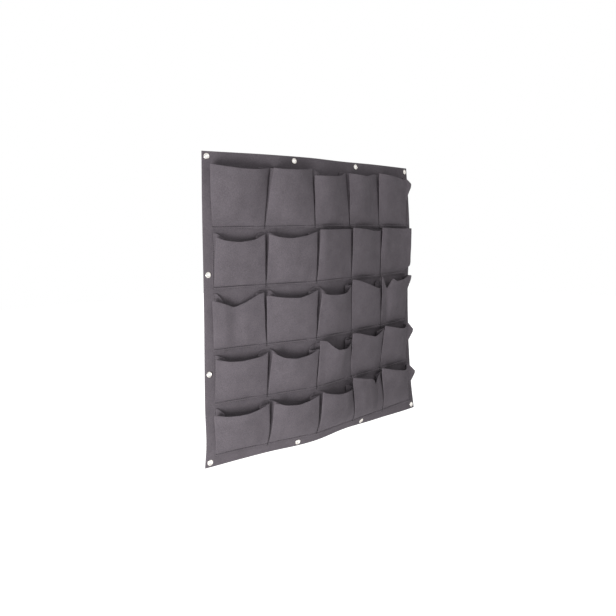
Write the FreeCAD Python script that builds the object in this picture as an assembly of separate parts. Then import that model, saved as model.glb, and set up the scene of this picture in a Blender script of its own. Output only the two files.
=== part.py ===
import FreeCAD, Part
import math
import os

from FreeCAD import Placement, Rotation, Vector

# Wall grow bag: a felt panel with rows of sewn felt pockets, hung by eyelets along its edges.
# Millimetres. X runs along the wall, Y into the wall and Z up. The origin is on the wall plane,
# at the middle of the panel's height and width.

# Felt
felt_thickness = 3.0

# Pocket grid. Rows run from the top down, columns from the left.
pocket_pitch = 188.0                            # from seam to seam, along the felt
row_1_height = 215.0                            # from one row's lower edge to the next
row_2_height = 192.0
row_3_height = 197.0
row_4_height = 170.0
row_5_height = 163.0
column_turns = (11.0, 8.0, -3.5, -7.5, -8.5)    # degrees each column turns off the wall
crease_radius = 40.0                            # of the soft bend at a seam, on the back
least_turn = 1e-6                               # radians; a smaller one stays straight
mouth_gap = 9.0                                 # below the row above, at the seams

# Pocket form. Fold depths are at the gussets' outer folds and crown depths at the front's flat
# middle, all at the mouth and row by row from the top. The pockets slump to the left.
left_fold_depths = (30.0, 24.0, 28.0, 29.0, 33.0)
right_fold_depths = (15.0, 15.0, 20.0, 26.0, 22.0)
crown_depths = (50.0, 34.0, 40.0, 46.0, 47.0)
belly_drop = 80.0               # how far below the mouth the belly section lies
belly_fold_share = 0.5          # of the mouth's depths, at the belly
belly_crown_share = 0.66
bottom_fold_depth = 0.6
bottom_crown_depth = 1.5
seam_gap = 1.0                  # between neighbouring pockets at a seam
seam_flange = 8.0               # felt sewn flat to the panel at each side
seam_band = 14.0                # felt sewn flat to the panel along the bottom
gusset_flare = 5.0              # how far a gusset leans out over its seam at the mouth
left_strip_widths = (20.0, 35.0)        # of the front's steep and gentle strips, from the fold
right_strip_widths = (25.0, 60.0)
steep_share = 0.5               # of the rise from fold to crown, taken by the steep strip
mouth_droop = 20.0              # sag of the mouth's edge between the seams

# Eyelets and washers
edge_eyelets = 4                # along the top and along the bottom
upper_eyelet_drop = 373.0       # of the two on each side, below the top ones
lower_eyelet_drop = 688.0
bore_radius = 5.0
barrel_wall = 0.7
barrel_clearance = 0.1          # from the barrel to the felt and to the washer
flange_width = 5.0              # from the bore to the flange's outer edge
flange_rim_height = 0.8         # of the flange's inner edge
flange_crown_height = 1.7
washer_thickness = 0.8
washer_setback = 0.5            # of the washer's edge, inside the flange's
clinch_width = 1.7              # of the barrel's end, rolled over the washer
clinch_height = 0.8

# Felt left around the eyelets
edge_felt = 6.0                 # outside the eyelet's flange
inner_felt = 4.0                # between the flange and the nearest pocket
top_felt = 7.0                  # between the flange and the top row

# Thread
thread_width = 1.0
thread_height = 0.6
bottom_line_heights = (4.0, 11.0)       # of the two lines, above the pocket's lower edge
thread_end_gap = 6.0                    # from a side line's end to the mouth

# Sizes that follow
columns = len(column_turns)
row_heights = (row_1_height, row_2_height, row_3_height, row_4_height, row_5_height)
barrel_radius = bore_radius + barrel_wall
hole_radius = barrel_radius + barrel_clearance
flange_radius = bore_radius + flange_width
eyelet_inset = edge_felt + flange_radius
side_margin = edge_felt + 2 * flange_radius + inner_felt
top_margin = edge_felt + 2 * flange_radius + top_felt
panel_width = columns * pocket_pitch + 2 * side_margin
panel_height = top_margin + sum(row_heights) + side_margin
panel_top = panel_height / 2
panel_bottom = -panel_height / 2


def column_lengths():
    # Felt from crease to crease. The outer columns carry the side margins.
    lengths = [pocket_pitch] * columns
    lengths[0] += side_margin
    lengths[-1] += side_margin
    return lengths


def panel_plan():
    # Corners of the panel's back face, and each column's heading, with both ends on the wall.
    path = [Vector(0, 0, 0)]
    for length, turn in zip(column_lengths(), column_turns):
        angle = -math.radians(turn)
        path.append(path[-1] + Vector(math.cos(angle), math.sin(angle), 0) * length)
    chord = path[-1] - path[0]
    slope = math.atan2(chord.y, chord.x)
    headings = [-math.radians(turn) - slope for turn in column_turns]
    corners = [Vector(-chord.Length / 2, 0, 0)]
    for length, heading in zip(column_lengths(), headings):
        corners.append(corners[-1] + Vector(math.cos(heading), math.sin(heading), 0) * length)
    return corners, headings


def front_normal(heading):
    return Vector(math.sin(heading), -math.cos(heading), 0)


def on_column(column, along, height):
    # Local frame on a column's front face: X along the felt, Y into it, Z up.
    corners, headings = panel_plan()
    heading = headings[column]
    direction = Vector(math.cos(heading), math.sin(heading), 0)
    place = corners[column] + direction * along + front_normal(heading) * felt_thickness
    place.z = height
    return Placement(place, Rotation(Vector(0, 0, 1), math.degrees(heading)))


def pocket_frame(row, column):
    # The lower left corner of a pocket, on the felt's front face.
    lower_edge = panel_top - top_margin - sum(row_heights[:row + 1])
    return on_column(column, side_margin if column == 0 else 0.0, lower_edge)


def eyelet_frame(along, height):
    # A place on the felt, given by its distance from the panel's left edge.
    column = 0
    for length in column_lengths()[:-1]:
        if along < length:
            break
        along -= length
        column += 1
    return on_column(column, along, height)


def eyelet_frames():
    spacing = (panel_width - 2 * eyelet_inset) / (edge_eyelets - 1)
    top = panel_top - eyelet_inset
    bottom = panel_bottom + eyelet_inset
    frames = {}
    for number in range(edge_eyelets):
        along = eyelet_inset + number * spacing
        frames[f"eyelet_top_{number + 1}"] = eyelet_frame(along, top)
        frames[f"eyelet_bottom_{number + 1}"] = eyelet_frame(along, bottom)
    for number, drop in enumerate((upper_eyelet_drop, lower_eyelet_drop)):
        frames[f"eyelet_left_{number + 1}"] = eyelet_frame(eyelet_inset, top - drop)
        frames[f"eyelet_right_{number + 1}"] = eyelet_frame(panel_width - eyelet_inset, top - drop)
    return frames


def line(start, end):
    return Part.LineSegment(start, end).toShape()


def arc(start, middle, end):
    return Part.Arc(start, middle, end).toShape()


def soft_path(points, headings, radius_gain):
    # Straight runs joined by tangent arcs. radius_gain is added on the outer side of a bend.
    edges = []
    start = points[0]
    for number in range(1, len(points) - 1):
        before = headings[number - 1]
        after = headings[number]
        turn = after - before
        if abs(turn) < least_turn:
            continue
        radius = crease_radius + (radius_gain if turn > 0 else felt_thickness - radius_gain)
        tangent = radius * math.tan(abs(turn) / 2)
        corner = points[number]
        enter = corner - Vector(math.cos(before), math.sin(before), 0) * tangent
        leave = corner + Vector(math.cos(after), math.sin(after), 0) * tangent
        inward = ((enter + leave) / 2 - corner).normalize()
        middle = corner + inward * (radius / math.cos(turn / 2) - radius)
        edges.append(line(start, enter))
        edges.append(arc(enter, middle, leave))
        start = leave
    edges.append(line(start, points[-1]))
    return edges


def front_corners(corners, headings):
    # The back face's corners, moved to the front face along mitred normals.
    sides = [headings[0], *headings, headings[-1]]
    moved = []
    for corner, before, after in zip(corners, sides[:-1], sides[1:]):
        normals = front_normal(before) + front_normal(after)
        mitre = normals * (felt_thickness * 2 / normals.Length ** 2)
        moved.append(corner + mitre)
    return moved


def back_panel():
    corners, headings = panel_plan()
    fronts = front_corners(corners, headings)
    edges = soft_path(corners, headings, 0.0)
    edges.append(line(corners[-1], fronts[-1]))
    edges.extend(soft_path(fronts, headings, felt_thickness))
    edges.append(line(fronts[0], corners[0]))
    plan = Part.Face(Part.Wire(Part.__sortEdges__(edges)))
    plan.translate(Vector(0, 0, panel_bottom))
    panel = plan.extrude(Vector(0, 0, panel_height))
    for frame in eyelet_frames().values():
        punch = Part.makeCylinder(
            hole_radius, 3 * felt_thickness, Vector(0, -felt_thickness, 0), Vector(0, 1, 0)
        )
        punch.Placement = frame
        panel = panel.cut(punch)
    return panel


def pocket_height(row):
    return row_heights[row] - mouth_gap


def pocket_stations(row):
    # Height, left fold, right fold and crown, from the sewn band up to the mouth.
    height = pocket_height(row)
    left = left_fold_depths[row]
    right = right_fold_depths[row]
    crown = crown_depths[row]
    return (
        (seam_band, bottom_fold_depth, bottom_fold_depth, bottom_crown_depth),
        (
            height - belly_drop,
            left * belly_fold_share,
            right * belly_fold_share,
            crown * belly_crown_share,
        ),
        (height, left, right, crown),
    )


def half_section(fold, crown, mouth_fold, mouth_crown, strip_widths, hollow):
    # From the panel out to the front's flat middle. The gusset and each strip keep their slope at
    # every height, so they are flat. The hollow runs a little into the panel for a clean cut.
    if hollow:
        root = seam_flange + felt_thickness
        seam = [(root, felt_thickness), (root, 0)]
        depth = fold
    else:
        root = seam_flange
        seam = [(seam_gap / 2, 0), (seam_gap / 2, -felt_thickness), (root, -felt_thickness)]
        depth = fold + felt_thickness
    share = (crown - fold) / (mouth_crown - mouth_fold)
    steep_width, gentle_width = strip_widths
    inset = root - gusset_flare * fold / mouth_fold
    steep = inset + steep_width * share
    gentle = steep + gentle_width * share
    rise = crown - fold
    front = [(inset, -depth), (steep, -depth - rise * steep_share), (gentle, -depth - rise)]
    return seam + front


def section(row, station, hollow):
    # The closed outline of a pocket, or of the hollow in it, at one station.
    height, left, right, crown = station
    _, mouth_left, mouth_right, mouth_crown = pocket_stations(row)[-1]
    half = half_section(left, crown, mouth_left, mouth_crown, left_strip_widths, hollow)
    other = half_section(right, crown, mouth_right, mouth_crown, right_strip_widths, hollow)
    mirrored = [(pocket_pitch - x, y) for x, y in reversed(other)]
    return [Vector(x, y, height) for x, y in half + mirrored]


def skin(sections):
    # A solid with flat sides between outlines that have matching corners.
    def face(points):
        return Part.Face(Part.makePolygon(points + points[:1]))

    faces = [face(sections[0]), face(sections[-1])]
    for low, high in zip(sections, sections[1:]):
        for number in range(len(low)):
            after = (number + 1) % len(low)
            faces.append(face([low[number], low[after], high[after], high[number]]))
    return Part.Solid(Part.Shell(faces))


def pocket(row):
    # A gusseted pocket: flat at the bottom, swelling to the belly and opening at the mouth.
    stations = pocket_stations(row)
    body = skin([section(row, station, False) for station in stations])
    hollow = skin([section(row, station, True) for station in stations])
    band = Part.makeBox(
        pocket_pitch - seam_gap,
        felt_thickness,
        seam_band,
        Vector(seam_gap / 2, -felt_thickness, 0),
    )
    return body.fuse(band).cut(hollow).cut(above_mouth(row)).removeSplitter()


def above_mouth(row):
    # Everything over the mouth's edge, which falls from the seams to the front's flat middle.
    height = pocket_height(row)
    low = height - mouth_droop
    reach = felt_thickness + crown_depths[row]
    middle_left = seam_flange + sum(left_strip_widths)
    middle_right = pocket_pitch - seam_flange - sum(right_strip_widths)
    outline = (
        (0, height),
        (middle_left, low),
        (middle_right, low),
        (pocket_pitch, height),
        (pocket_pitch, height + mouth_droop),
        (0, height + mouth_droop),
    )
    points = [Vector(x, felt_thickness, z) for x, z in outline]
    face = Part.Face(Part.makePolygon(points + points[:1]))
    return face.extrude(Vector(0, -2 * reach, 0))


def revolved(outline):
    # A ring from its half section, given as radius and depth behind the felt's front face.
    points = [Vector(radius, depth, 0) for radius, depth in outline]
    profile = Part.Face(Part.makePolygon(points + points[:1]))
    return profile.revolve(Vector(0, 0, 0), Vector(0, 1, 0), 360)


def eyelet():
    # Ridged flange on the front, barrel through the felt, end rolled over the washer.
    seat = felt_thickness + washer_thickness
    return revolved([
        (bore_radius, -flange_rim_height),
        (bore_radius + flange_width / 2, -flange_crown_height),
        (flange_radius, 0),
        (barrel_radius, 0),
        (barrel_radius, seat),
        (barrel_radius + clinch_width, seat),
        (bore_radius, seat + clinch_height),
    ])


def eyelet_washer():
    # Flat on the felt, and thinned from its hole to its edge.
    return revolved([
        (hole_radius, felt_thickness),
        (flange_radius - washer_setback, felt_thickness),
        (hole_radius, felt_thickness + washer_thickness),
    ])


def bottom_lines():
    # Two lines of thread along the flat band at a pocket's bottom.
    return [
        Part.makeBox(
            pocket_pitch - seam_gap,
            thread_height,
            thread_width,
            Vector(seam_gap / 2, -felt_thickness - thread_height, height - thread_width / 2),
        )
        for height in bottom_line_heights
    ]


def side_lines(row):
    # One line of thread up the middle of each side flange.
    middle = (seam_gap / 2 + seam_flange) / 2
    return [
        Part.makeBox(
            thread_width,
            thread_height,
            pocket_height(row) - seam_band - thread_end_gap,
            Vector(place - thread_width / 2, -felt_thickness - thread_height, seam_band),
        )
        for place in (middle, pocket_pitch - middle)
    ]


def placed(shape, frame):
    moved = shape.copy()
    moved.Placement = frame.multiply(moved.Placement)
    return moved


def build():
    nodes = {"back_panel": back_panel()}
    bottom_stitching = []
    side_stitching = []
    for row in range(len(row_heights)):
        shape = pocket(row)
        for column in range(columns):
            frame = pocket_frame(row, column)
            nodes[f"pocket_row{row + 1}_col{column + 1}"] = placed(shape, frame)
            bottom_stitching.extend(placed(bar, frame) for bar in bottom_lines())
            side_stitching.extend(placed(bar, frame) for bar in side_lines(row))
    frames = eyelet_frames().values()
    nodes["eyelets"] = Part.makeCompound([placed(eyelet(), frame) for frame in frames])
    nodes["eyelet_washers"] = Part.makeCompound(
        [placed(eyelet_washer(), frame) for frame in frames]
    )
    nodes["bottom_stitching"] = Part.makeCompound(bottom_stitching)
    nodes["side_stitching"] = Part.makeCompound(side_stitching)
    return nodes


def main():
    os.makedirs("parts", exist_ok=True)
    for name, shape in build().items():
        shape.exportStep(f"parts/{name}.step")
        print(name, len(shape.Solids), "solids,", round(shape.Volume / 1000, 1), "cm3")


if __name__ == "__main__":
    main()
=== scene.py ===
import bpy
import math
import numpy as np
from mathutils import Matrix, Vector, noise


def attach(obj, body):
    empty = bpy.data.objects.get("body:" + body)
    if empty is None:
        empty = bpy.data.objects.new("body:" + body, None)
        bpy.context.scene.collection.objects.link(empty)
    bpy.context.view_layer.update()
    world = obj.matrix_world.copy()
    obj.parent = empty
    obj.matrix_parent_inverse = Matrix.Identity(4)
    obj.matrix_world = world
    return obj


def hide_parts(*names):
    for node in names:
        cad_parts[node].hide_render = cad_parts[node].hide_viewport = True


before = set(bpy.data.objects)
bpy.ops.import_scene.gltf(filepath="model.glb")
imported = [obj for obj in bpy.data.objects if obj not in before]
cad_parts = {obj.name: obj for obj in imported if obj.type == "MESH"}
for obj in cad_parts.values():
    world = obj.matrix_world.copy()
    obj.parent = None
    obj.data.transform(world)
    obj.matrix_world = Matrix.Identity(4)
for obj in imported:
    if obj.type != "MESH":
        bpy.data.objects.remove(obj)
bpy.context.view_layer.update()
scene = bpy.context.scene
scene.view_settings.view_transform = "Standard"
mm = 0.001

# the felt back panel: one sheet, five columns wide, all sizes in mm
backFelt = {
    "thickness": 3.0,
    "pitch": 188.0,              # seam to seam
    "sideMargin": 30.0,
    "topMargin": 33.0,
    "height": 1000.0,
    "cells": (110, 110),         # of its mesh, across and up
    "cutEdge": 0.7,              # width of the softened edge
    "cutAngle": 60,              # degrees; only the cut edges turn more
    "bendAngle": 50,             # degrees; the sheet's own bends turn less
    "wave": 1.8,                 # slow unevenness of the hanging sheet
    "waveLength": 150.0,
    "waveStart": 640.0,          # the slice of noise that it is taken from
    "pulledFlat": 40.0,          # how near an eyelet the wave dies away
}
rowHeights = (215.0, 192.0, 197.0, 170.0, 163.0)
columns = 5
feltWidth = columns * backFelt["pitch"] + 2 * backFelt["sideMargin"]
feltTop = backFelt["height"] / 2
feltStep = 5.0                   # of the net that holds the sheet's hanging shape

# how far the sheet hangs off the wall, in mm: by height from its middle, and there at its left edge,
# its four seams and its right edge
feltHang = {
    500.0: (16, 50, 61, 38, 30, 0),
    250.0: (7, 43, 87, 66, 38, 15),
    -50.0: (5, 43, 84, 65, 38, 0),
    -310.0: (2, 40, 78, 58, 32, 4),
    -440.0: (5, 43, 80, 70, 44, 15),
    -500.0: (0, 24, 57, 42, 28, 20),
}

# where the twelve eyelets sit on the sheet, and the holes that are punched for them, in mm
eyeletHoles = {
    "inset": 16.0,               # from the sheet's edges
    "perEdge": 4,                # along the top and along the bottom
    "sideDrops": (373.0, 688.0),         # of the two on each side, below the top ones
    "radius": 5.8,
    "punch": 20.0,               # length of the punch
    "segments": 40,
}


def deselectAll():
    if bpy.context.object and bpy.context.object.mode != "OBJECT":
        bpy.ops.object.mode_set(mode="OBJECT")
    bpy.ops.object.select_all(action="DESELECT")


def pick(piece):
    deselectAll()
    piece.select_set(True)
    bpy.context.view_layer.objects.active = piece


def applyAll(piece):
    pick(piece)
    for modifier in list(piece.modifiers):
        bpy.ops.object.modifier_apply(modifier=modifier.name)


def joinPieces(pieces, name):
    deselectAll()
    for piece in pieces:
        piece.select_set(True)
    bpy.context.view_layer.objects.active = pieces[0]
    bpy.ops.object.join()
    joined = bpy.context.object
    joined.name = name
    joined.data.name = name
    return joined


def thicken(piece, thickness):
    # half of the thickness goes to each side
    wall = piece.modifiers.new("sheetThickness", "SOLIDIFY")
    wall.thickness = thickness * mm
    wall.offset = 0.0


def roundOff(piece):
    smooth = piece.modifiers.new("roundedEdges", "SUBSURF")
    smooth.levels = 1
    smooth.render_levels = 1


def smoothOutward(piece):
    # faces turned outwards and shaded smooth
    pick(piece)
    bpy.ops.object.mode_set(mode="EDIT")
    bpy.ops.mesh.select_all(action="SELECT")
    bpy.ops.mesh.normals_make_consistent(inside=False)
    bpy.ops.object.mode_set(mode="OBJECT")
    bpy.ops.object.shade_smooth()


def seamAlong(column):
    # a column's left seam, from the sheet's left edge
    return backFelt["sideMargin"] + backFelt["pitch"] * column


def lowerEdge(row):
    # of a row of pockets, up from the sheet's middle
    return feltTop - backFelt["topMargin"] - sum(rowHeights[:row + 1])


def smoothThrough(places, values, wanted):
    # a soft curve through the given values, one row of values for each place
    places = np.asarray(places, float)
    values = np.asarray(values, float)
    slopes = np.gradient(values, places, axis=0)
    before = np.clip(np.searchsorted(places, wanted) - 1, 0, len(places) - 2)
    span = (places[before + 1] - places[before])[:, None]
    t = (wanted - places[before])[:, None] / span
    return (
        (2 * t ** 3 - 3 * t ** 2 + 1) * values[before]
        + (t ** 3 - 2 * t ** 2 + t) * span * slopes[before]
        + (3 * t ** 2 - 2 * t ** 3) * values[before + 1]
        + (t ** 3 - t ** 2) * span * slopes[before + 1]
    )


def eyeletPlaces():
    # along the sheet from its left edge, and up from its middle
    inset = eyeletHoles["inset"]
    gap = (feltWidth - 2 * inset) / (eyeletHoles["perEdge"] - 1)
    places = []
    for number in range(eyeletHoles["perEdge"]):
        places.append((inset + gap * number, feltTop - inset))
        places.append((inset + gap * number, inset - feltTop))
    for drop in eyeletHoles["sideDrops"]:
        places.append((inset, feltTop - inset - drop))
        places.append((feltWidth - inset, feltTop - inset - drop))
    return places


eyelets = eyeletPlaces()


def feltWave(across, down):
    # slow noise over the sheet, none where an eyelet pulls it flat
    wave = np.zeros((len(down), len(across)))
    for i, drop in enumerate(down):
        for j, along in enumerate(across):
            spot = Vector((along, drop, backFelt["waveStart"])) / backFelt["waveLength"]
            wave[i, j] = noise.noise(spot)
    flat = np.ones_like(wave)
    for along, level in eyelets:
        far = (across[None, :] - along) ** 2 + (feltTop - down[:, None] - level) ** 2
        flat *= 1 - np.exp(-far / backFelt["pulledFlat"] ** 2)
    return wave * flat * backFelt["wave"]


def hangFelt():
    # the sheet's front face on a fine net: it keeps its length across and down as it hangs
    across = np.arange(0.0, feltWidth + 1, feltStep)
    down = np.arange(0.0, backFelt["height"] + 1, feltStep)
    seams = [seamAlong(column) for column in range(1, columns)]
    heights = np.array(list(feltHang))
    hang = smoothThrough(feltTop - heights, list(feltHang.values()), down)
    hang = smoothThrough([0.0, *seams, feltWidth], hang.T, across).T
    hang = np.maximum(hang + feltWave(across, down), 0.0)
    lean = np.diff(hang, axis=0)
    fall = np.sqrt(feltStep ** 2 - lean ** 2)
    level = feltTop - np.concatenate([np.zeros((1, len(across))), np.cumsum(fall, axis=0)])
    lean = np.diff(hang, axis=1)
    reach = np.sqrt(feltStep ** 2 - lean ** 2)
    x = np.concatenate([np.zeros((len(down), 1)), np.cumsum(reach, axis=1)], axis=1)
    x -= x[:, -1:] / 2
    front = np.stack([x, -hang - backFelt["thickness"], level], axis=2)
    normal = np.cross(np.gradient(front, axis=1), -np.gradient(front, axis=0))
    normal /= np.linalg.norm(normal, axis=2, keepdims=True)
    return front, normal


feltFront, feltNormal = hangFelt()


def netValue(net, along, level):
    # between the net's points, straight across and straight up
    rows, places = net.shape[:2]
    i = (feltTop - level) / feltStep
    j = along / feltStep
    i0 = np.clip(np.floor(i).astype(int), 0, rows - 2)
    j0 = np.clip(np.floor(j).astype(int), 0, places - 2)
    a = (i - i0)[..., None]
    b = (j - j0)[..., None]
    upper = net[i0, j0] * (1 - b) + net[i0, j0 + 1] * b
    lower = net[i0 + 1, j0] * (1 - b) + net[i0 + 1, j0 + 1] * b
    return upper * (1 - a) + lower * a


def onFelt(along, out, level):
    # points out from the sheet's front face, in metres; level is measured up the sheet from its middle
    along, out, level = (np.asarray(v, float) for v in np.broadcast_arrays(along, out, level))
    front = netValue(feltFront, along, level)
    outward = netValue(feltNormal, along, level)
    return (front + outward * out[..., None]) * mm


def facingFelt(along, level):
    # places a ring made about Z on the sheet, its face outwards
    middle = Vector(onFelt(along, 0.0, level))
    outward = Vector(netValue(feltNormal, np.asarray(along), np.asarray(level)))
    return Matrix.Translation(middle) @ outward.to_track_quat("Z", "Y").to_matrix().to_4x4()


def linear(hexColour):
    # sRGB hex to the linear colour that the shader takes
    channels = [int(hexColour[k:k + 2], 16) / 255 for k in (1, 3, 5)]
    lit = [c / 12.92 if c <= 0.04045 else ((c + 0.055) / 1.055) ** 2.4 for c in channels]
    return (*lit, 1.0)


def addNode(tree, kind, settings=None, values=None, links=None):
    node = tree.nodes.new(kind)
    for name, value in (settings or {}).items():
        setattr(node, name, value)
    for name, value in (values or {}).items():
        node.inputs[name].default_value = value
    for name, source in (links or {}).items():
        tree.links.new(source, node.inputs[name])
    return node


def newMaterial(name):
    material = bpy.data.materials.new(name)
    material.use_nodes = True
    material.node_tree.nodes.clear()
    return material, material.node_tree


# needle-punched polyester felt: matt, a tangle of short grey fibres with paler ones among them; the
# hollows between tufts get painted shade
feltFinish = {
    # darker grey: partly the fibres' own mottle, partly painted shade in the tufts' hollows
    "mottleAndHollowShade": "#5A545A",
    "body": "#6E686D",
    "pale": "#8B858A",
    "sheen": "#B8B2B8",
    "fibre": 1.6,        # mm across a tuft of fibres, drawn a little coarse so that it shows
    "lint": 0.7,         # mm, single pale fibres
    "cloud": 26.0,       # mm, uneven needling
    "bumpDepth": 0.5,    # mm
}
mixFirst, mixSecond, mixResult = 6, 7, 2         # a mix node's sockets for colours


def makeFelt():
    material, tree = newMaterial("needlePunchedFelt")
    place = addNode(tree, "ShaderNodeTexCoord").outputs["Object"]
    tuft = addNode(tree, "ShaderNodeTexNoise", None, {
        "Scale": 1000 / feltFinish["fibre"] / 2, "Detail": 3.0, "Roughness": 0.65, "Distortion": 1.1,
    }, {"Vector": place}).outputs["Fac"]
    lint = addNode(tree, "ShaderNodeTexNoise", None, {
        "Scale": 1000 / feltFinish["lint"] / 2, "Detail": 1.0, "Roughness": 0.5, "Distortion": 2.4,
    }, {"Vector": place}).outputs["Fac"]
    cloud = addNode(tree, "ShaderNodeTexNoise", None, {
        "Scale": 1000 / feltFinish["cloud"] / 2, "Detail": 3.0, "Roughness": 0.55,
    }, {"Vector": place}).outputs["Fac"]
    tufts = addNode(tree, "ShaderNodeValToRGB", None, None, {"Fac": tuft})
    # the tufts' hollows take the darker grey as painted shade, over the fibres' own mottle; the crests
    # take the body grey
    hollow, crest = tufts.color_ramp.elements
    hollow.position, hollow.color = 0.32, linear(feltFinish["mottleAndHollowShade"])
    crest.position, crest.color = 0.70, linear(feltFinish["body"])
    lintShare = addNode(tree, "ShaderNodeMapRange", None, {
        "From Min": 0.60, "From Max": 0.74, "To Min": 0.0, "To Max": 0.55,
    }, {"Value": lint})
    withLint = addNode(tree, "ShaderNodeMix", {"data_type": "RGBA"}, {
        mixSecond: linear(feltFinish["pale"]),
    }, {"Factor": lintShare.outputs["Result"], mixFirst: tufts.outputs["Color"]})
    cloudShade = addNode(tree, "ShaderNodeMapRange", None, {
        "From Min": 0.3, "From Max": 0.7, "To Min": 0.90, "To Max": 1.08,
    }, {"Value": cloud})
    clouded = addNode(tree, "ShaderNodeVectorMath", {"operation": "SCALE"}, None, {
        "Vector": withLint.outputs[mixResult], "Scale": cloudShade.outputs["Result"],
    })
    bump = addNode(tree, "ShaderNodeBump", None, {
        "Strength": 0.55, "Distance": feltFinish["bumpDepth"] * mm,
    }, {"Height": tuft})
    shader = addNode(tree, "ShaderNodeBsdfPrincipled", None, {
        "Roughness": 0.95, "IOR": 1.5, "Specular IOR Level": 0.18,
        "Sheen Weight": 0.12, "Sheen Roughness": 0.6, "Sheen Tint": linear(feltFinish["sheen"]),
    }, {"Base Color": clouded.outputs["Vector"], "Normal": bump.outputs["Normal"]})
    addNode(tree, "ShaderNodeOutputMaterial", None, None, {"Surface": shader.outputs["BSDF"]})
    return material


# bright nickel plate on pressed steel: smooth, a warm white metal with faint press marks
nickelFinish = {
    "colour": "#E9E6E1",
    "worn": "#D6D1CA",
    "scuff": 1.2,        # mm
}


def makeNickel():
    material, tree = newMaterial("pressedNickelPlate")
    place = addNode(tree, "ShaderNodeTexCoord").outputs["Object"]
    scuff = addNode(tree, "ShaderNodeTexNoise", None, {
        "Scale": 1000 / nickelFinish["scuff"] / 2, "Detail": 2.0, "Roughness": 0.6,
    }, {"Vector": place}).outputs["Fac"]
    plate = addNode(tree, "ShaderNodeValToRGB", None, None, {"Fac": scuff})
    worn, bright = plate.color_ramp.elements
    worn.position, worn.color = 0.35, linear(nickelFinish["worn"])
    bright.position, bright.color = 0.6, linear(nickelFinish["colour"])
    gloss = addNode(tree, "ShaderNodeMapRange", None, {
        "From Min": 0.3, "From Max": 0.7, "To Min": 0.30, "To Max": 0.20,
    }, {"Value": scuff})
    shader = addNode(tree, "ShaderNodeBsdfPrincipled", None, {"Metallic": 1.0}, {
        "Base Color": plate.outputs["Color"], "Roughness": gloss.outputs["Result"],
    })
    addNode(tree, "ShaderNodeOutputMaterial", None, None, {"Surface": shader.outputs["BSDF"]})
    return material


# spun polyester thread: two twisted plies, a soft low gloss; painted shade in the grooves between
# plies, painted light on their crests, and both colours darkened to paint the shadow of the stitch
# grooves
threadFinish = {
    # both nearly black: the thread's own dark grey, darkened further as painted shadow of the stitch
    # grooves
    "shade": "#151315",
    "light": "#2A272A",
    "ply": 3.1416,       # mm from one ply's crest to the next, drawn coarse so that it shows
    "plyTurn": 0.9,      # radians
    "bumpDepth": 0.1,    # mm
}
waveCrest = math.tau / 20        # from crest to crest of a wave texture at a scale of 1


def makeThread():
    material, tree = newMaterial("spunPolyesterThread")
    place = addNode(tree, "ShaderNodeTexCoord").outputs["Object"]
    turned = addNode(tree, "ShaderNodeMapping", None, {
        "Rotation": (0.0, threadFinish["plyTurn"], 0.0),
    }, {"Vector": place})
    ply = addNode(tree, "ShaderNodeTexWave", None, {
        "Scale": 1000 / threadFinish["ply"] * waveCrest, "Distortion": 0.6, "Detail": 1.0,
    }, {"Vector": turned.outputs["Vector"]}).outputs["Fac"]
    plies = addNode(tree, "ShaderNodeValToRGB", None, None, {"Fac": ply})
    # painted shade in the grooves between the plies, painted light on their crests
    hollow, crest = plies.color_ramp.elements
    hollow.color = linear(threadFinish["shade"])
    crest.color = linear(threadFinish["light"])
    bump = addNode(tree, "ShaderNodeBump", None, {
        "Strength": 0.4, "Distance": threadFinish["bumpDepth"] * mm,
    }, {"Height": ply})
    shader = addNode(tree, "ShaderNodeBsdfPrincipled", None, {
        "Roughness": 0.55, "Specular IOR Level": 0.35, "Sheen Weight": 0.1,
    }, {"Base Color": plies.outputs["Color"], "Normal": bump.outputs["Normal"]})
    addNode(tree, "ShaderNodeOutputMaterial", None, None, {"Surface": shader.outputs["BSDF"]})
    return material


felt = makeFelt()
nickel = makeNickel()
thread = makeThread()
print("materials ready")


def dress(piece, material, slotName, *nodes):
    piece.data.materials.clear()
    piece.data.materials.append(material)
    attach(piece, "root")
    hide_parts(*nodes)


def sheetPiece(name, net):
    # a flat grid bent to a net of points, whose rows run from the lower edge up
    rows, places = net.shape[:2]
    deselectAll()
    bpy.ops.mesh.primitive_grid_add(x_subdivisions=places - 1, y_subdivisions=rows - 1, size=2.0)
    piece = bpy.context.object
    piece.name = name
    piece.data.name = name
    flat = np.zeros(len(piece.data.vertices) * 3)
    piece.data.vertices.foreach_get("co", flat)
    flat = flat.reshape(-1, 3)
    column = np.rint((flat[:, 0] + 1) / 2 * (places - 1)).astype(int)
    row = np.rint((flat[:, 1] + 1) / 2 * (rows - 1)).astype(int)
    piece.data.vertices.foreach_set("co", net[row, column].ravel())
    piece.data.update()
    return piece


def punchHoles(piece):
    punches = []
    for along, level in eyelets:
        deselectAll()
        bpy.ops.mesh.primitive_cylinder_add(
            vertices=eyeletHoles["segments"],
            radius=eyeletHoles["radius"] * mm,
            depth=eyeletHoles["punch"] * mm,
        )
        bpy.context.object.data.transform(facingFelt(along, level))
        punches.append(bpy.context.object)
    punch = joinPieces(punches, "eyeletPunch")
    holes = piece.modifiers.new("punchedHoles", "BOOLEAN")
    holes.operation = "DIFFERENCE"
    holes.object = punch
    applyAll(piece)
    bpy.data.objects.remove(punch)


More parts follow.
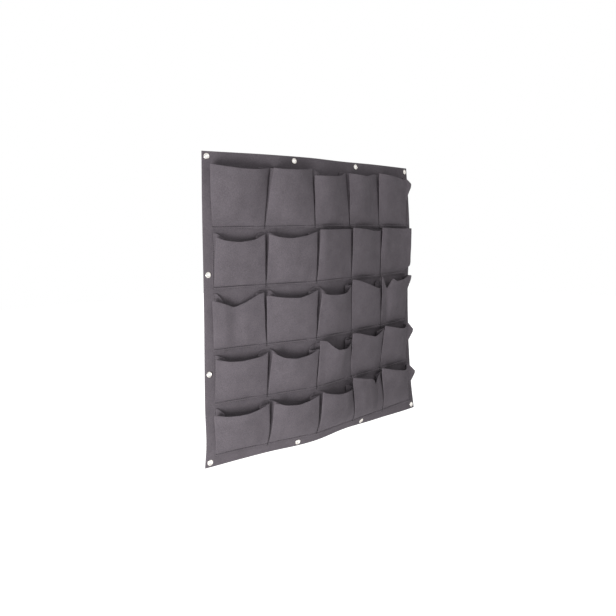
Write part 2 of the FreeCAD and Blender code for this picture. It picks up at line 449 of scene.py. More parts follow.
def makeBackFelt():
    across, up = backFelt["cells"]
    along = feltWidth * np.arange(across + 1) / across
    level = backFelt["height"] * (np.arange(up + 1) / up - 0.5)
    middle = -backFelt["thickness"] / 2
    piece = sheetPiece("backFelt", onFelt(along[None, :], middle, level[:, None]))
    thicken(piece, backFelt["thickness"])
    cut = piece.modifiers.new("softCutEdge", "BEVEL")
    cut.width = backFelt["cutEdge"] * mm
    cut.segments = 2
    cut.limit_method = "ANGLE"
    cut.angle_limit = math.radians(backFelt["cutAngle"])
    applyAll(piece)
    punchHoles(piece)
    pick(piece)
    bpy.ops.object.shade_smooth_by_angle(angle=math.radians(backFelt["bendAngle"]))
    dress(piece, felt, "felt", "back_panel")
    return piece


backPiece = makeBackFelt()
print("back felt", len(backPiece.data.polygons), "faces")

# a pocket is one piece of felt: flange, folded gusset, front, folded gusset, flange. All in mm.
pocketCut = {
    "thickness": 2.6,
    "lift": 0.2,             # left free at its two faces where it is sewn on
    "flange": 8.0,
    "gussetHalf": 36.0,
    "front": 184.0,
    "foldInset": 1.0,        # of the sewn fold from its seam
    "sewnLayer": 1.3,        # each layer of the pleat, pressed by the bottom seam
    "pleatShare": 0.25,      # of the front, over which the pleat thins out from each end
    "puff": 3.2,             # of the felt between the two rows of stitches
    "puffReach": 6.0,        # up and down from between them
    "band": 14.0,            # sewn flat along the bottom
    "lines": (4.0, 11.0),    # heights of the two rows of stitches
    "groove": 2.2,           # how deep the stitches draw the felt in
    "lineGroove": 1.9,       # how far to each side, along the bottom
    "sideGroove": 1.5,       # and up the flanges
    "sideLine": 4.25,
    "mouthGap": 9.0,         # the flange's top below the row above
}
pocketSeat = (pocketCut["thickness"] + pocketCut["lift"]) / 2     # of the sewn felt's middle

# how felt of that cut hangs, in every pocket: lengths in mm, the rest in shares
pocketHang = {
    "foldLag": 1.25,         # the folds open later than the pocket's own swell
    "frontLead": 0.5,        # and the front by this much earlier than the folds
    "earLift": 1.25,         # an ear's tip stands off the back felt this many times as far as its fold
    "crease": (22, 7),       # usual softness across the front and along the mouth
    "tight": 3.0,            # softness of the sewn folds
    "hem": 5.0,              # the cut's outermost part, which is softened less and less
    "closedSoft": 0.35,      # share of the softness left at the sewn bottom
    "ripple": 2.2,           # slow swells of the hanging felt
    "crinkle": 0.7,          # small ones
    "rippleLength": (55.0, 70.0),        # across and up
    "crinkleRate": 2.4,      # small swells to one slow one
    "seedStep": 7.3,         # from one pocket's noise to the next one's
    "freeRate": 3,           # the swells are full from one third of the height
    "freeDepth": 12,         # and from this far off the back felt
    "leastRise": 0.35,       # a leaning step still goes up by this share of its length
    "sewnDepth": 3.0,        # nearer the back felt than this, the mouth stays at its seam
    "drawnDepth": 14.0,      # and over this much more it takes up its droop
    "mouthEase": 1.8,        # how late, going up, the felt follows its mouth
    "mouthSpan": (-40.0, 231.0),         # across from the left seam, past both folds
}

# how each pocket hangs. mouth: place across and drop below the seam above. depth: place across and
# distance off the back felt, both at the mouth. The first and last depths are the folds.
# swell: how early the pocket opens. soft: roundness of the left and right folds.
# ear: how far the right gusset stands out past its fold, where it isn't tucked in, and between which
# shares of the height it comes out.
# crease: how soft the bends across the front and along the mouth are, in place of the usual.
pocketForms = {
    "row1_col1": {
        "mouth": ((-18, 8), (40, 16), (90, 20), (150, 19), (204, 12)),
        "depth": ((-18, 27), (30, 46), (70, 52), (110, 52), (150, 43), (205, 17)),
        "swell": 0.9, "soft": (4, 8)},
    "row1_col2": {
        "mouth": ((6, 12), (50, 18), (100, 20), (150, 16), (190, 8)),
        "depth": ((9, 46), (42, 56), (76, 57), (111, 50), (146, 34), (192, 10)),
        "swell": 0.9, "soft": (4, 6)},
    "row1_col3": {
        "mouth": ((-14, 32), (40, 38), (90, 36), (140, 26), (188, 14)),
        "depth": ((-2, 20), (28, 38), (60, 44), (100, 38), (145, 21), (192, 7)),
        "swell": 0.8, "soft": (4, 8)},
    "row1_col4": {
        "mouth": ((0, 14), (40, 22), (90, 24), (140, 10), (188, 4)),
        "depth": ((0, 22), (36, 38), (70, 40), (105, 30), (145, 15), (192, 6)),
        "swell": 0.8, "soft": (4, 8)},
    "row1_col5": {
        "mouth": ((-20, 4), (40, 12), (100, 18), (150, 22), (170, 18), (198, 42)),
        "depth": ((-18, 24), (20, 40), (60, 44), (120, 36), (168, 28)),
        "swell": 0.8, "soft": (4, 6), "ear": (27, 0.1, 0.92), "crease": (22, 3)},
    "row2_col1": {
        "mouth": ((0, 18), (24, 30), (46, 35), (85, 39), (140, 32), (166, 20), (188, 12)),
        "depth": ((2, 24), (46, 31), (80, 32), (130, 30), (181, 23)),
        "swell": 0.6, "soft": (3, 4)},
    "row2_col2": {
        "mouth": ((0, 14), (40, 26), (85, 31), (140, 24), (188, 10)),
        "depth": ((0, 28), (40, 36), (80, 38), (130, 30), (188, 19)),
        "swell": 0.6, "soft": (3, 4)},
    "row2_col3": {
        "mouth": ((0, 5), (60, 6), (120, 5), (188, 3)),
        "depth": ((3, 26), (22, 32), (64, 24), (130, 18), (188, 13)),
        "swell": 0.6, "soft": (3, 4), "crease": (8, 7)},
    "row2_col4": {
        "mouth": ((0, 1), (60, 5), (120, 11), (188, 12)),
        "depth": ((-8, 26), (26, 34), (76, 34), (130, 25), (190, 13)),
        "swell": 0.65, "soft": (3, 4)},
    "row2_col5": {
        "mouth": ((0, -1), (60, 1), (120, 2), (188, 3)),
        "depth": ((-4, 22), (20, 30), (60, 24), (90, 20), (130, 17), (168, 16)),
        "swell": 0.65, "soft": (3, 4), "ear": (38, 0.0, 0.3), "crease": (8, 7)},
    "row3_col1": {
        "mouth": ((-12, 28), (30, 42), (64, 56), (100, 42), (150, 18), (188, 10)),
        "depth": ((-14, 26), (30, 28), (64, 18), (100, 28), (140, 26), (174, 23)),
        "swell": 0.6, "soft": (2, 4), "crease": (9, 4)},
    "row3_col2": {
        "mouth": ((0, 26), (50, 34), (110, 38), (150, 28), (188, 14)),
        "depth": ((-12, 28), (40, 36), (90, 36), (140, 30), (184, 22)),
        "swell": 0.6, "soft": (2, 4)},
    "row3_col3": {
        "mouth": ((0, 26), (24, 36), (70, 40), (130, 40), (160, 24), (188, 12)),
        "depth": ((0, 32), (30, 38), (80, 41), (130, 31), (182, 15)),
        "swell": 0.75, "soft": (2, 4)},
    "row3_col4": {
        "mouth": ((0, -4), (60, 14), (125, 34), (160, 40), (188, 30)),
        "depth": ((-22, 27), (24, 34), (76, 38), (130, 29), (182, 15)),
        "swell": 0.75, "soft": (2, 4)},
    "row3_col5": {
        "mouth": ((-30, -8), (-5, 16), (20, 56), (28, 2), (62, 18), (120, 14), (176, 0), (196, 4)),
        "depth": ((-30, 36), (20, 22), (27, 40), (62, 43), (120, 40), (174, 28)),
        "swell": 0.8, "soft": (2, 4), "ear": (14, 0.1, 0.92), "crease": (5, 3)},
    "row4_col1": {
        "mouth": ((-4, 16), (40, 27), (80, 30), (140, 26), (166, 22), (188, 10)),
        "depth": ((-4, 24), (40, 34), (80, 38), (130, 34), (185, 26)),
        "swell": 0.85, "soft": (2, 4)},
    "row4_col2": {
        "mouth": ((0, 11), (45, 34), (90, 42), (140, 38), (188, 22)),
        "depth": ((3, 40), (40, 46), (80, 48), (130, 39), (188, 22)),
        "swell": 0.9, "soft": (2, 4)},
    "row4_col3": {
        "mouth": ((0, -3), (26, 0), (44, 20), (70, 38), (130, 41), (160, 32), (188, 16)),
        "depth": ((-2, 26), (26, 30), (60, 42), (100, 43), (140, 31), (184, 14)),
        "swell": 0.85, "soft": (2, 4), "crease": (9, 4)},
    "row4_col4": {
        "mouth": ((0, -7), (50, 6), (110, 20), (150, 10), (188, -2)),
        "depth": ((-24, 29), (28, 38), (76, 44), (130, 37), (188, 24)),
        "swell": 0.85, "soft": (2, 4)},
    "row4_col5": {
        "mouth": ((-8, -12), (50, 2), (110, 14), (154, 16), (167, -7), (208, 35)),
        "depth": ((-10, 34), (40, 46), (90, 48), (130, 40), (164, 26)),
        "swell": 0.9, "soft": (2, 4), "ear": (44, 0.1, 0.92), "crease": (22, 3)},
    "row5_col1": {
        "mouth": ((-14, 21), (30, 31), (70, 34), (105, 34), (140, 28), (175, 16), (188, 12)),
        "depth": ((-14, 28), (30, 38), (80, 44), (130, 38), (186, 28)),
        "swell": 0.9, "soft": (2, 4)},
    "row5_col2": {
        "mouth": ((0, 9), (50, 26), (98, 31), (140, 25), (165, 18), (188, 14)),
        "depth": ((5, 45), (40, 48), (80, 48), (130, 40), (184, 28)),
        "swell": 0.95, "soft": (2, 4)},
    "row5_col3": {
        "mouth": ((0, 6), (40, 22), (80, 32), (140, 34), (188, 34)),
        "depth": ((4, 32), (40, 37), (80, 42), (125, 40), (158, 24), (184, 11)),
        "swell": 0.9, "soft": (2, 4)},
    "row5_col4": {
        "mouth": ((-28, -14), (30, 0), (85, 14), (112, 28), (128, 48), (150, 16), (188, -6)),
        "depth": ((-28, 35), (22, 41), (76, 42), (108, 32), (128, 16), (158, 20), (184, 14)),
        "swell": 0.9, "soft": (2, 4), "crease": (8, 3)},
    "row5_col5": {
        "mouth": ((-22, -16), (40, 2), (110, 18), (150, 19), (161, -6), (208, 39)),
        "depth": ((-28, 33), (24, 44), (80, 49), (124, 41), (158, 25)),
        "swell": 0.95, "soft": (2, 4), "ear": (51, 0.1, 0.92), "crease": (22, 3)},
}


def pocketHeight(row):
    return rowHeights[row] - pocketCut["mouthGap"]


def softened(values, widths):
    # a running mean whose width changes along the sheet, taken twice
    count = len(values)
    order = np.arange(count)
    for _ in range(2):
        total = np.concatenate([[0.0], np.cumsum(values)])
        low = np.maximum(order - widths, 0)
        high = np.minimum(order + widths, count - 1)
        reach = np.minimum(order - low, high - order)
        low = order - reach
        high = order + reach + 1
        values = (total[high] - total[low]) / (high - low)
    return values


def gussetElbow(root, fold, half):
    # the elbow tucks straight in under the front, as far as the gusset's length lets it
    rootX, rootOut = root
    foldX, foldOut = fold
    rise = (foldOut - rootOut) / 2
    tuck = math.sqrt(max(half * half - rise * rise, 1.0))
    return (rootX + foldX) / 2 + tuck, (rootOut + foldOut) / 2


def clearOfPleat(placed):
    # 0 at a pocket's ends, 1 where the front lies on the back felt without the pleat under it
    return np.clip(np.minimum(placed, 1 - placed) / pocketCut["pleatShare"], 0, 1)


def pocketFront(form, share):
    # the front at one level: shares of its width, places across and distances off the back felt
    acrossMouth, outMouth = np.array(form["depth"], float).T
    placed = (acrossMouth - acrossMouth[0]) / (acrossMouth[-1] - acrossMouth[0])
    foldLeft = pocketCut["foldInset"]
    foldRight = backFelt["pitch"] - pocketCut["foldInset"]
    opened = share ** form["swell"]
    across = (foldLeft + placed * (foldRight - foldLeft)) * (1 - opened) + acrossMouth * opened
    middle = clearOfPleat(placed)
    pleat = pocketSeat + 2 * pocketCut["sewnLayer"] * (1 - middle)
    opening = share ** (form["swell"] * (pocketHang["foldLag"] - pocketHang["frontLead"] * middle))
    out = pleat * (1 - opening) + np.maximum(outMouth, pocketSeat) * opening
    return placed, across, out


def rightElbow(form, share, fold):
    # the right gusset's elbow: tucked in as on the left, or out as an ear
    pitch = backFelt["pitch"]
    root = (pocketCut["flange"], pocketSeat)
    mirrored = gussetElbow(root, (pitch - fold[0], fold[1]), pocketCut["gussetHalf"])
    elbow = (pitch - mirrored[0], mirrored[1])
    if "ear" in form:
        reach, low, high = form["ear"]
        loose = min(max((share - low) / (high - low), 0.0), 1.0)
        tip = (fold[0] + reach, fold[1] * pocketHang["earLift"])
        elbow = tuple(tucked * (1 - loose) + stuck * loose for tucked, stuck in zip(elbow, tip))
    return elbow


def pocketSection(form, share):
    # one level of the sheet, sampled every mm of the cut: across and out, in mm
    pitch = backFelt["pitch"]
    flange = pocketCut["flange"]
    half = pocketCut["gussetHalf"]
    front = pocketCut["front"]
    placed, across, out = pocketFront(form, share)
    root = (flange, pocketSeat)
    corners = [(0.0, pocketSeat), root, gussetElbow(root, (across[0], out[0]), half)]
    corners += zip(across, out)
    corners += [rightElbow(form, share, (across[-1], out[-1]))]
    corners += [(pitch - flange, pocketSeat), (pitch, pocketSeat)]
    fold = flange + 2 * half
    tail = fold + front
    end = tail + 2 * half + flange
    marks = [0.0, flange, flange + half]
    marks += [fold + front * place for place in placed]
    marks += [tail + half, tail + 2 * half, end]
    cut = np.arange(0.0, end + 0.5, 1.0)
    softLeft, softRight = form["soft"]
    softFront, _ = form.get("crease", pocketHang["crease"])
    tight = pocketHang["tight"]
    hem = pocketHang["hem"]
    places = [0.0, hem, flange + half, fold, fold + front / 2]
    amounts = [0.0, tight, tight + 1.0, softLeft, softFront]
    places += [tail, tail + half, end - hem, end]
    amounts += [softRight, tight + 1.0, tight, 0.0]
    closed = pocketHang["closedSoft"]
    widths = np.interp(cut, places, amounts) * (closed + (1 - closed) * share ** form["swell"])
    widths = np.rint(widths).astype(int)
    sectionAcross = softened(np.interp(cut, marks, [c[0] for c in corners]), widths)
    sectionOut = softened(np.interp(cut, marks, [c[1] for c in corners]), widths)
    return cut, sectionAcross, np.maximum(sectionOut, pocketSeat)


# where a pocket's mesh has its edge loops, in mm: first those across the cut, then those up it
pocketLoops = {
    "sideLine": (2.2, 6.2),              # one on each side of the flange's stitches
    "flange": (0, 3, 8, 14, 20),         # past the flange
    "elbow": (-2, 2, 6, 12, 18),         # past the gusset's elbow
    "fold": (-4, -1, 2, 6, 11),          # past the fold
    "frontInset": 18,                    # of the front's own loops from both folds
    "frontCount": 20,
    "lowLine": (1.6, 5.8),               # one on each side of the lower stitches
    "highLine": (-1.7, 2.0),             # over the upper stitches
    "band": (3, 8),                      # over the sewn band, the second with the first of the rest
    "upCount": 20,
    "mouth": (6, 2.5),                   # under the mouth, the first with the last of the rest
}


def cutStops():
    # places across the cut that get an edge loop: close together at the folds
    flange = pocketCut["flange"]
    elbow = flange + pocketCut["gussetHalf"]
    fold = elbow + pocketCut["gussetHalf"]
    inside, outside = pocketLoops["sideLine"]
    left = [0.0, inside, pocketCut["sideLine"], outside]
    left += [flange + step for step in pocketLoops["flange"]]
    left += [elbow + step for step in pocketLoops["elbow"]]
    left += [fold + step for step in pocketLoops["fold"]]
    total = 2 * fold + pocketCut["front"]
    inset = pocketLoops["frontInset"]
    inner = np.linspace(fold + inset, total - fold - inset, pocketLoops["frontCount"])
    return np.array(left + list(inner) + [total - stop for stop in reversed(left)])


def heightStops(height):
    # levels up the cut, close together at the stitched band and at the mouth
    low, high = pocketCut["lines"]
    underLow, overLow = pocketLoops["lowLine"]
    underHigh, overHigh = (high + step for step in pocketLoops["highLine"])
    overBand, first = (pocketCut["band"] + step for step in pocketLoops["band"])
    last, underMouth = (height - step for step in pocketLoops["mouth"])
    stops = [0.0, underLow, low, overLow, (low + high) / 2, underHigh, high, overHigh, overBand]
    stops += list(np.linspace(first, last, pocketLoops["upCount"]))
    return np.array(stops + [underMouth, height])


def addSwells(out, acrossStops, upStops, shares, seed):
    # unevenness of the felt, none where it is sewn down
    lengthAcross, lengthUp = pocketHang["rippleLength"]
    for r, share in enumerate(shares):
        for c in range(len(acrossStops)):
            free = min(share * pocketHang["freeRate"], 1)
            free *= min(out[r, c] / pocketHang["freeDepth"], 1)
            spot = Vector((
                acrossStops[c] / lengthAcross, upStops[r] / lengthUp, seed * pocketHang["seedStep"],
            ))
            out[r, c] += noise.noise(spot) * pocketHang["ripple"] * free
            out[r, c] += noise.noise(spot * pocketHang["crinkleRate"]) * pocketHang["crinkle"] * free


def standUp(across, out, upStops):
    # each upright line of the sheet keeps its length as it leans out
    up = np.zeros_like(out)
    for r in range(1, len(upStops)):
        rise = upStops[r] - upStops[r - 1]
        lean = (across[r] - across[r - 1]) ** 2 + (out[r] - out[r - 1]) ** 2
        least = (pocketHang["leastRise"] * rise) ** 2
        up[r] = up[r - 1] + np.sqrt(np.maximum(rise * rise - lean, least))
    return up


def droopMouth(form, height, across, out):
    # heights along the mouth's edge; near its seams it stays where it is sewn
    fine = np.arange(*pocketHang["mouthSpan"])
    places, drops = zip(*form["mouth"])
    _, softMouth = form.get("crease", pocketHang["crease"])
    droop = softened(np.interp(fine, places, drops), np.full(fine.shape, softMouth))
    target = height + pocketCut["mouthGap"] - np.interp(across, fine, droop)
    free = np.clip((out - pocketHang["sewnDepth"]) / pocketHang["drawnDepth"], 0, 1)
    return target * free + (1 - free) * height


def drawIn(out, acrossStops, upStops):
    # the stitches draw the felt in, and it swells between them
    lowLine, highLine = pocketCut["lines"]
    apart = np.abs(upStops - (lowLine + highLine) / 2)
    between = np.clip(1 - apart / pocketCut["puffReach"], 0, 1)
    out += (pocketCut["puff"] * between)[:, None]
    for line in pocketCut["lines"]:
        sunk = np.exp(-((upStops - line) / pocketCut["lineGroove"]) ** 2)
        out -= pocketCut["groove"] * sunk[:, None]
    for place in (pocketCut["sideLine"], acrossStops[-1] - pocketCut["sideLine"]):
        sunk = np.exp(-((acrossStops - place) / pocketCut["sideGroove"]) ** 2)
        out -= pocketCut["groove"] * sunk[None, :]


def makePocket(row, column, form, seed):
    height = pocketHeight(row)
    acrossStops = cutStops()
    upStops = heightStops(height)
    shares = np.clip((upStops - pocketCut["band"]) / (height - pocketCut["band"]), 0, 1)
    across = np.zeros((len(upStops), len(acrossStops)))
    out = np.zeros_like(across)
    for r, share in enumerate(shares):
        cut, sectionAcross, sectionOut = pocketSection(form, share)
        across[r] = np.interp(acrossStops, cut, sectionAcross)
        out[r] = np.interp(acrossStops, cut, sectionOut)
    addSwells(out, acrossStops, upStops, shares, seed)
    up = standUp(across, out, upStops)
    mouth = droopMouth(form, height, across[-1], out[-1])
    up += (mouth - up[-1])[None, :] * (shares ** pocketHang["mouthEase"])[:, None]
    drawIn(out, acrossStops, upStops)
    net = onFelt(seamAlong(column) + across, out, lowerEdge(row) + up)
    piece = sheetPiece(f"pocketRow{row + 1}Col{column + 1}", net)
    thicken(piece, pocketCut["thickness"])
    roundOff(piece)
    applyAll(piece)
    bpy.ops.object.shade_smooth()
    dress(piece, felt, "felt", f"pocket_row{row + 1}_col{column + 1}")
    return piece


pockets = []
for row in range(len(rowHeights)):
    for column in range(columns):
        form = pocketForms[f"row{row + 1}_col{column + 1}"]
        pockets.append(makePocket(row, column, form, len(pockets) + 1))
print("pockets", len(pockets), "each", len(pockets[0].data.polygons), "faces")

# stitches: short bars of thread, rounded and sunk at both ends, in mm
stitchForm = {
    "length": 4.6,
    "step": 6.0,
    "width": 1.5,
    "rise": 0.35,        # of the thread's middle over the felt
    "sideStart": 3.0,    # of a side line, over the band
    "sideSpare": 6.0,    # left free of stitches up a side line
    "rings": (-1.0, -0.62, 0.0, 0.62, 1.0),
    "swell": (0.45, 0.9, 1.0, 0.9, 0.45),
    "arch": (-0.75, -0.1, 0.12, -0.1, -0.75),
    "sides": 5,
}


def stitchMesh():
    # one stitch along X, its round side towards -Y, from a small cylinder
    deselectAll()
    bpy.ops.mesh.primitive_cylinder_add(vertices=stitchForm["sides"], radius=1.0, depth=2.0)
    piece = bpy.context.object
    bpy.ops.object.mode_set(mode="EDIT")
    bpy.ops.mesh.select_mode(type="EDGE")
    bpy.ops.mesh.select_all(action="DESELECT")
    bpy.ops.object.mode_set(mode="OBJECT")
    for edge in piece.data.edges:
        a, b = (piece.data.vertices[k].co for k in edge.vertices)
        edge.select = abs(a.z - b.z) > 1.0       # only the edges from end to end
    bpy.ops.object.mode_set(mode="EDIT")
    bpy.ops.mesh.subdivide(number_cuts=len(stitchForm["rings"]) - 2)
    bpy.ops.object.mode_set(mode="OBJECT")
    levels = np.linspace(-1, 1, len(stitchForm["rings"]))
    for vertex in piece.data.vertices:
        level = vertex.co.z
        girth = np.interp(level, levels, stitchForm["swell"]) * stitchForm["width"] / 2
        lift = np.interp(level, levels, stitchForm["arch"]) * stitchForm["width"]
        length = np.interp(level, levels, stitchForm["rings"]) * stitchForm["length"] / 2
        vertex.co = Vector((length, vertex.co.y * girth - lift, vertex.co.x * girth))
    return piece


stitchPattern = stitchMesh()
stitchPoints = np.array([v.co for v in stitchPattern.data.vertices])
stitchFaces = [tuple(p.vertices) for p in stitchPattern.data.polygons]
bpy.data.objects.remove(stitchPattern)


def bandRise(along):
    # how far the sewn band lifts its stitches: the swell between the lines, and the pleat at each end
    placed = (along - backFelt["sideMargin"]) % backFelt["pitch"] / backFelt["pitch"]
    return pocketCut["puff"] / 2 + 2 * pocketCut["sewnLayer"] * (1 - clearOfPleat(placed))


def stitchRow(along, level, count, upright, flip):
    # the points of one line of stitches on the felt; flip puts it on the back of the panel
    lengthwise = stitchPoints[None, :, 0] + np.arange(count)[:, None] * stitchForm["step"]
    sideways = np.broadcast_to(stitchPoints[:, 2], lengthwise.shape)
    if flip:
        out = stitchPoints[:, 1] - backFelt["thickness"] - stitchForm["rise"] / 2
    else:
        out = 2 * pocketSeat - pocketCut["groove"] + stitchForm["rise"] - stitchPoints[:, 1]
        if not upright:
            out = out + bandRise(along + lengthwise)
    if upright:
        lengthwise, sideways = sideways, lengthwise
    return onFelt(along + lengthwise, out, level + sideways).reshape(-1, 3)


def stitchPiece(name, lines, node):
    points = np.concatenate(lines)
    faces = []
    for first in range(0, len(points), len(stitchPoints)):
        faces.extend(tuple(first + corner for corner in face) for face in stitchFaces)
    mesh = bpy.data.meshes.new(name)
    mesh.from_pydata(points, [], faces)
    piece = bpy.data.objects.new(name, mesh)
    scene.collection.objects.link(piece)
    smoothOutward(piece)
    dress(piece, thread, "thread", node)
    return piece


def makeStitches():
    step = stitchForm["step"]
    pitch = backFelt["pitch"]
    band = pocketCut["band"]
    across = int(pitch // step)
    spare = pitch - (across - 1) * step
    bottomLines, sideLines = [], []
    for row in range(len(rowHeights)):
        low = lowerEdge(row)
        upward = int((pocketHeight(row) - band - stitchForm["sideSpare"]) // step)
        for column in range(columns):
            seam = seamAlong(column)
            for line in pocketCut["lines"]:
                for flip in (False, True):
                    bottomLines.append(stitchRow(seam + spare / 2, low + line, across, False, flip))
            start = low + band + stitchForm["sideStart"]
            for place in (pocketCut["sideLine"], pitch - pocketCut["sideLine"]):
                for flip in (False, True):
                    sideLines.append(stitchRow(seam + place, start, upward, True, flip))
    bottom = stitchPiece("bottomStitches", bottomLines, "bottom_stitching")
    side = stitchPiece("sideStitches", sideLines, "side_stitching")
    return bottom, side


bottomStitches, sideStitches = makeStitches()
print("stitches", len(bottomStitches.data.polygons), len(sideStitches.data.polygons), "faces")


def editEdges():
    # opens the new ring for work on its rims
    bpy.ops.object.transform_apply(location=True, rotation=True, scale=True)
    bpy.ops.object.mode_set(mode="EDIT")
    bpy.ops.mesh.select_mode(type="EDGE")


def selectRim(piece, level):
    # only the edges at one height, in mm
    bpy.ops.mesh.select_all(action="DESELECT")
    bpy.ops.object.mode_set(mode="OBJECT")
    near = 0.01 * mm
    for edge in piece.data.edges:
        ends = (piece.data.vertices[k].co.z for k in edge.vertices)
        edge.select = all(abs(z - level * mm) < near for z in ends)
    bpy.ops.object.mode_set(mode="EDIT")


def growRim(steps):
    # extrudes the selected open rim step by step: new radius and height, in mm
    radius, level = steps[0]
    for newRadius, newLevel in steps[1:]:
        wider = newRadius / radius
        bpy.ops.mesh.extrude_edges_move()
        bpy.ops.transform.resize(value=(wider, wider, 1), center_override=(0, 0, 0))
        bpy.ops.transform.translate(value=(0, 0, (newLevel - level) * mm))
        radius, level = newRadius, newLevel


def pressMetal(piece, thickness):
    bpy.ops.object.mode_set(mode="OBJECT")
    thicken(piece, thickness)
    roundOff(piece)
    applyAll(piece)


eyeletForm = {
    "bore": 5.0,
    "metal": 0.7,
    "pressed": 0.9,      # share of the metal's thickness left after pressing
    "flange": 10.0,
    "crown": 1.7,
    "roll": ((0.25, 0.55), (1.0, 0.86), (2.1, 0.80)),    # out from the barrel; share of the crown
    "lip": ((1.4, 0.56), (0.35, 0.25)),                  # in from the flange's edge; the same
    "clinch": ((0.3, 0.45), (0.9, 0.55), (1.7, 0.3)),    # out from the barrel; behind the washer
}
washerForm = {
    "radius": 9.5,
    "gap": 0.1,          # between washer and barrel
    "metal": 0.5,
    "thickness": 0.8,    # with its dish
    "dish": (1.4, -0.1),                     # out from the hole; towards the felt
    "edge": ((0.7, 0.0), (0.1, 0.2)),        # in from the washer's edge; the same
}


def makeEyelet():
    # a pressed eyelet about Z, its face up: barrel, rolled flange, clinched end
    radius = eyeletForm["bore"] + eyeletForm["metal"] / 2
    seat = -backFelt["thickness"] - washerForm["thickness"]
    deselectAll()
    bpy.ops.mesh.primitive_cylinder_add(
        vertices=eyeletHoles["segments"], radius=radius * mm, depth=-seat * mm,
        location=(0, 0, seat / 2 * mm), end_fill_type="NOTHING",
    )
    piece = bpy.context.object
    editEdges()
    crown = eyeletForm["crown"]
    flange = [(radius + out, crown * share) for out, share in eyeletForm["roll"]]
    flange += [(eyeletForm["flange"] - inset, crown * share) for inset, share in eyeletForm["lip"]]
    selectRim(piece, 0.0)
    growRim([(radius, 0.0), *flange])
    selectRim(piece, seat)
    growRim([(radius, seat), *((radius + out, seat - back) for out, back in eyeletForm["clinch"])])
    pressMetal(piece, eyeletForm["metal"] * eyeletForm["pressed"])
    return piece


def makeWasher():
    # a thin dished ring on the back of the felt, about Z
    inner = eyeletForm["bore"] + eyeletForm["metal"] + washerForm["gap"]
    outer = washerForm["radius"]
    back = -backFelt["thickness"] - washerForm["thickness"] / 2
    deselectAll()
    bpy.ops.mesh.primitive_circle_add(
        vertices=eyeletHoles["segments"], radius=inner * mm, location=(0, 0, back * mm),
        fill_type="NOTHING",
    )
    piece = bpy.context.object
    editEdges()
    bpy.ops.mesh.select_all(action="SELECT")
    dishOut, dishLift = washerForm["dish"]
    dish = [(inner + dishOut, back + dishLift)]
    dish += [(outer - inset, back + lift) for inset, lift in washerForm["edge"]]
    growRim([(inner, back), *dish])
    pressMetal(piece, washerForm["metal"])
    return piece


def setAround(pattern, name, node):
    # copies of one pressed ring, each turned to face out of the felt where it hangs
    copies = []
    for along, level in eyelets:
        copy = pattern.copy()
        copy.data = pattern.data.copy()
        scene.collection.objects.link(copy)
        copy.data.transform(facingFelt(along, level))
        copies.append(copy)
    bpy.data.objects.remove(pattern)
    ring = joinPieces(copies, name)
    smoothOutward(ring)
    dress(ring, nickel, "nickel", node)
    return ring


eyeletRings = setAround(makeEyelet(), "eyeletRings", "eyelets")
washerRings = setAround(makeWasher(), "washerRings", "eyelet_washers")
print("eyelets", len(eyeletRings.data.polygons), "washers", len(washerRings.data.polygons), "faces")

# stage: pale floor well under the hanging bag, soft studio light, white surroundings
stageSet = {
    "floorHeight": -1.25,
    "floorSize": 24.0,
    "floorColour": "#F4F4F4",
    "floorGlow": 0.9,            # only as seen, so that the floor meets the background
    "background": 1.0,
    "fill": 0.44,                # light from all round
    "white": (1, 1, 1, 1),
}


def seenRay(tree):
    # 1 for what the camera sees, by itself, in metal or through glass
    ray = addNode(tree, "ShaderNodeLightPath")
    seen = ray.outputs["Is Camera Ray"]
    for kind in ("Is Glossy Ray", "Is Transmission Ray"):
        either = {0: seen, 1: ray.outputs[kind]}
        seen = addNode(tree, "ShaderNodeMath", {"operation": "MAXIMUM"}, None, either).outputs[0]
    return seen


def makeFloor():
    deselectAll()
    bpy.ops.mesh.primitive_plane_add(size=stageSet["floorSize"], location=(0, 0, 0))
    floor = bpy.context.object
    floor.name = "paleFloor"
    floor.data.transform(Matrix.Translation((0, 0, stageSet["floorHeight"])))
    material, tree = newMaterial("palePaintedFloor")
    paint = addNode(tree, "ShaderNodeBsdfDiffuse", None, {
        "Color": linear(stageSet["floorColour"]),
    }).outputs["BSDF"]
    glow = addNode(tree, "ShaderNodeEmission", None, {
        "Color": stageSet["white"], "Strength": stageSet["floorGlow"],
    }).outputs["Emission"]
    lit = addNode(tree, "ShaderNodeAddShader", None, None, {0: paint, 1: glow}).outputs["Shader"]
    mixed = addNode(tree, "ShaderNodeMixShader", None, None, {"Fac": seenRay(tree), 1: paint, 2: lit})
    addNode(tree, "ShaderNodeOutputMaterial", None, None, {"Surface": mixed.outputs["Shader"]})
    floor.data.materials.append(material)


makeFloor()


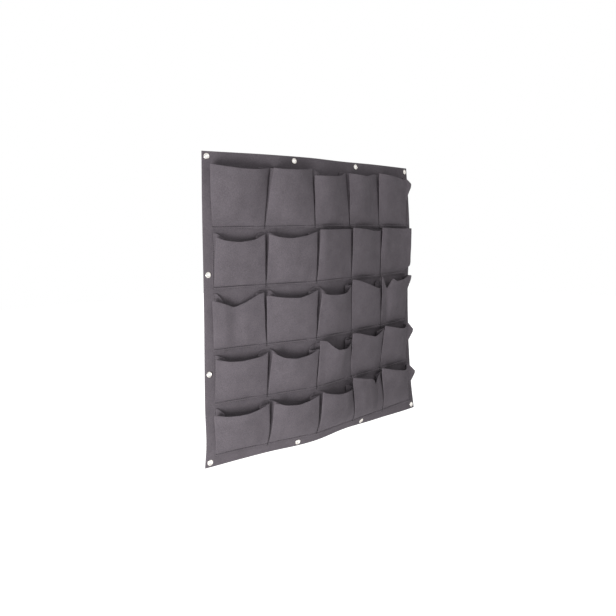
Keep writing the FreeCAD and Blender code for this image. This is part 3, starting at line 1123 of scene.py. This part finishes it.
def makeWorld():
    world = bpy.data.worlds.new("whiteStudio")
    scene.world = world
    world.use_nodes = True
    tree = world.node_tree
    tree.nodes.clear()
    links = {"Fac": seenRay(tree)}
    for socket, strength in ((1, stageSet["fill"]), (2, stageSet["background"])):
        links[socket] = addNode(tree, "ShaderNodeBackground", None, {
            "Color": stageSet["white"], "Strength": strength,
        }).outputs["Background"]
    mixed = addNode(tree, "ShaderNodeMixShader", None, None, links)
    addNode(tree, "ShaderNodeOutputWorld", None, None, {"Surface": mixed.outputs["Shader"]})


makeWorld()

lamps = {
    "keyPanel": {"place": (-2.2, -1.2, -0.6), "aim": (0, 0, 0), "size": 0.9, "watts": 44.0},
    "fillPanel": {"place": (-1.7, -1.6, 1.3), "aim": (0, 0, 0.4), "size": 1.2, "watts": 5.0},
}
for lampName, lamp in lamps.items():
    light = bpy.data.lights.new(lampName, "AREA")
    light.energy = lamp["watts"]
    light.size = lamp["size"]
    holder = bpy.data.objects.new(lampName, light)
    scene.collection.objects.link(holder)
    holder.location = lamp["place"]
    toward = Vector(lamp["aim"]) - Vector(lamp["place"])
    holder.rotation_euler = toward.to_track_quat("-Z", "Y").to_euler()
print("stage and lamps ready")

# camera: from the left, level with the upper rows, found from the corners and eyelets in the picture
cameraSet = {
    "place": (-1.5021, -1.6874, 0.2379),
    "yaw": 40.71,        # degrees, all three
    "pitch": -0.76,      # upwards
    "roll": -1.04,
    "lens": 36.0,        # mm, on a sensor of the same width
    "sensor": 36.0,
    "shiftDown": 0.1086,
}
camera = bpy.data.objects.new("camera", bpy.data.cameras.new("camera"))
scene.collection.objects.link(camera)
camera.data.sensor_width = cameraSet["sensor"]
camera.data.sensor_fit = "HORIZONTAL"
camera.data.lens = cameraSet["lens"]
camera.data.shift_y = -cameraSet["shiftDown"]
camera.location = cameraSet["place"]
heading = Matrix.Rotation(math.radians(-cameraSet["yaw"]), 4, "Z")
tilt = Matrix.Rotation(math.radians(90 + cameraSet["pitch"]), 4, "X")
spin = Matrix.Rotation(math.radians(cameraSet["roll"]), 4, "Z")
camera.rotation_euler = (heading @ tilt @ spin).to_euler()
scene.camera = camera
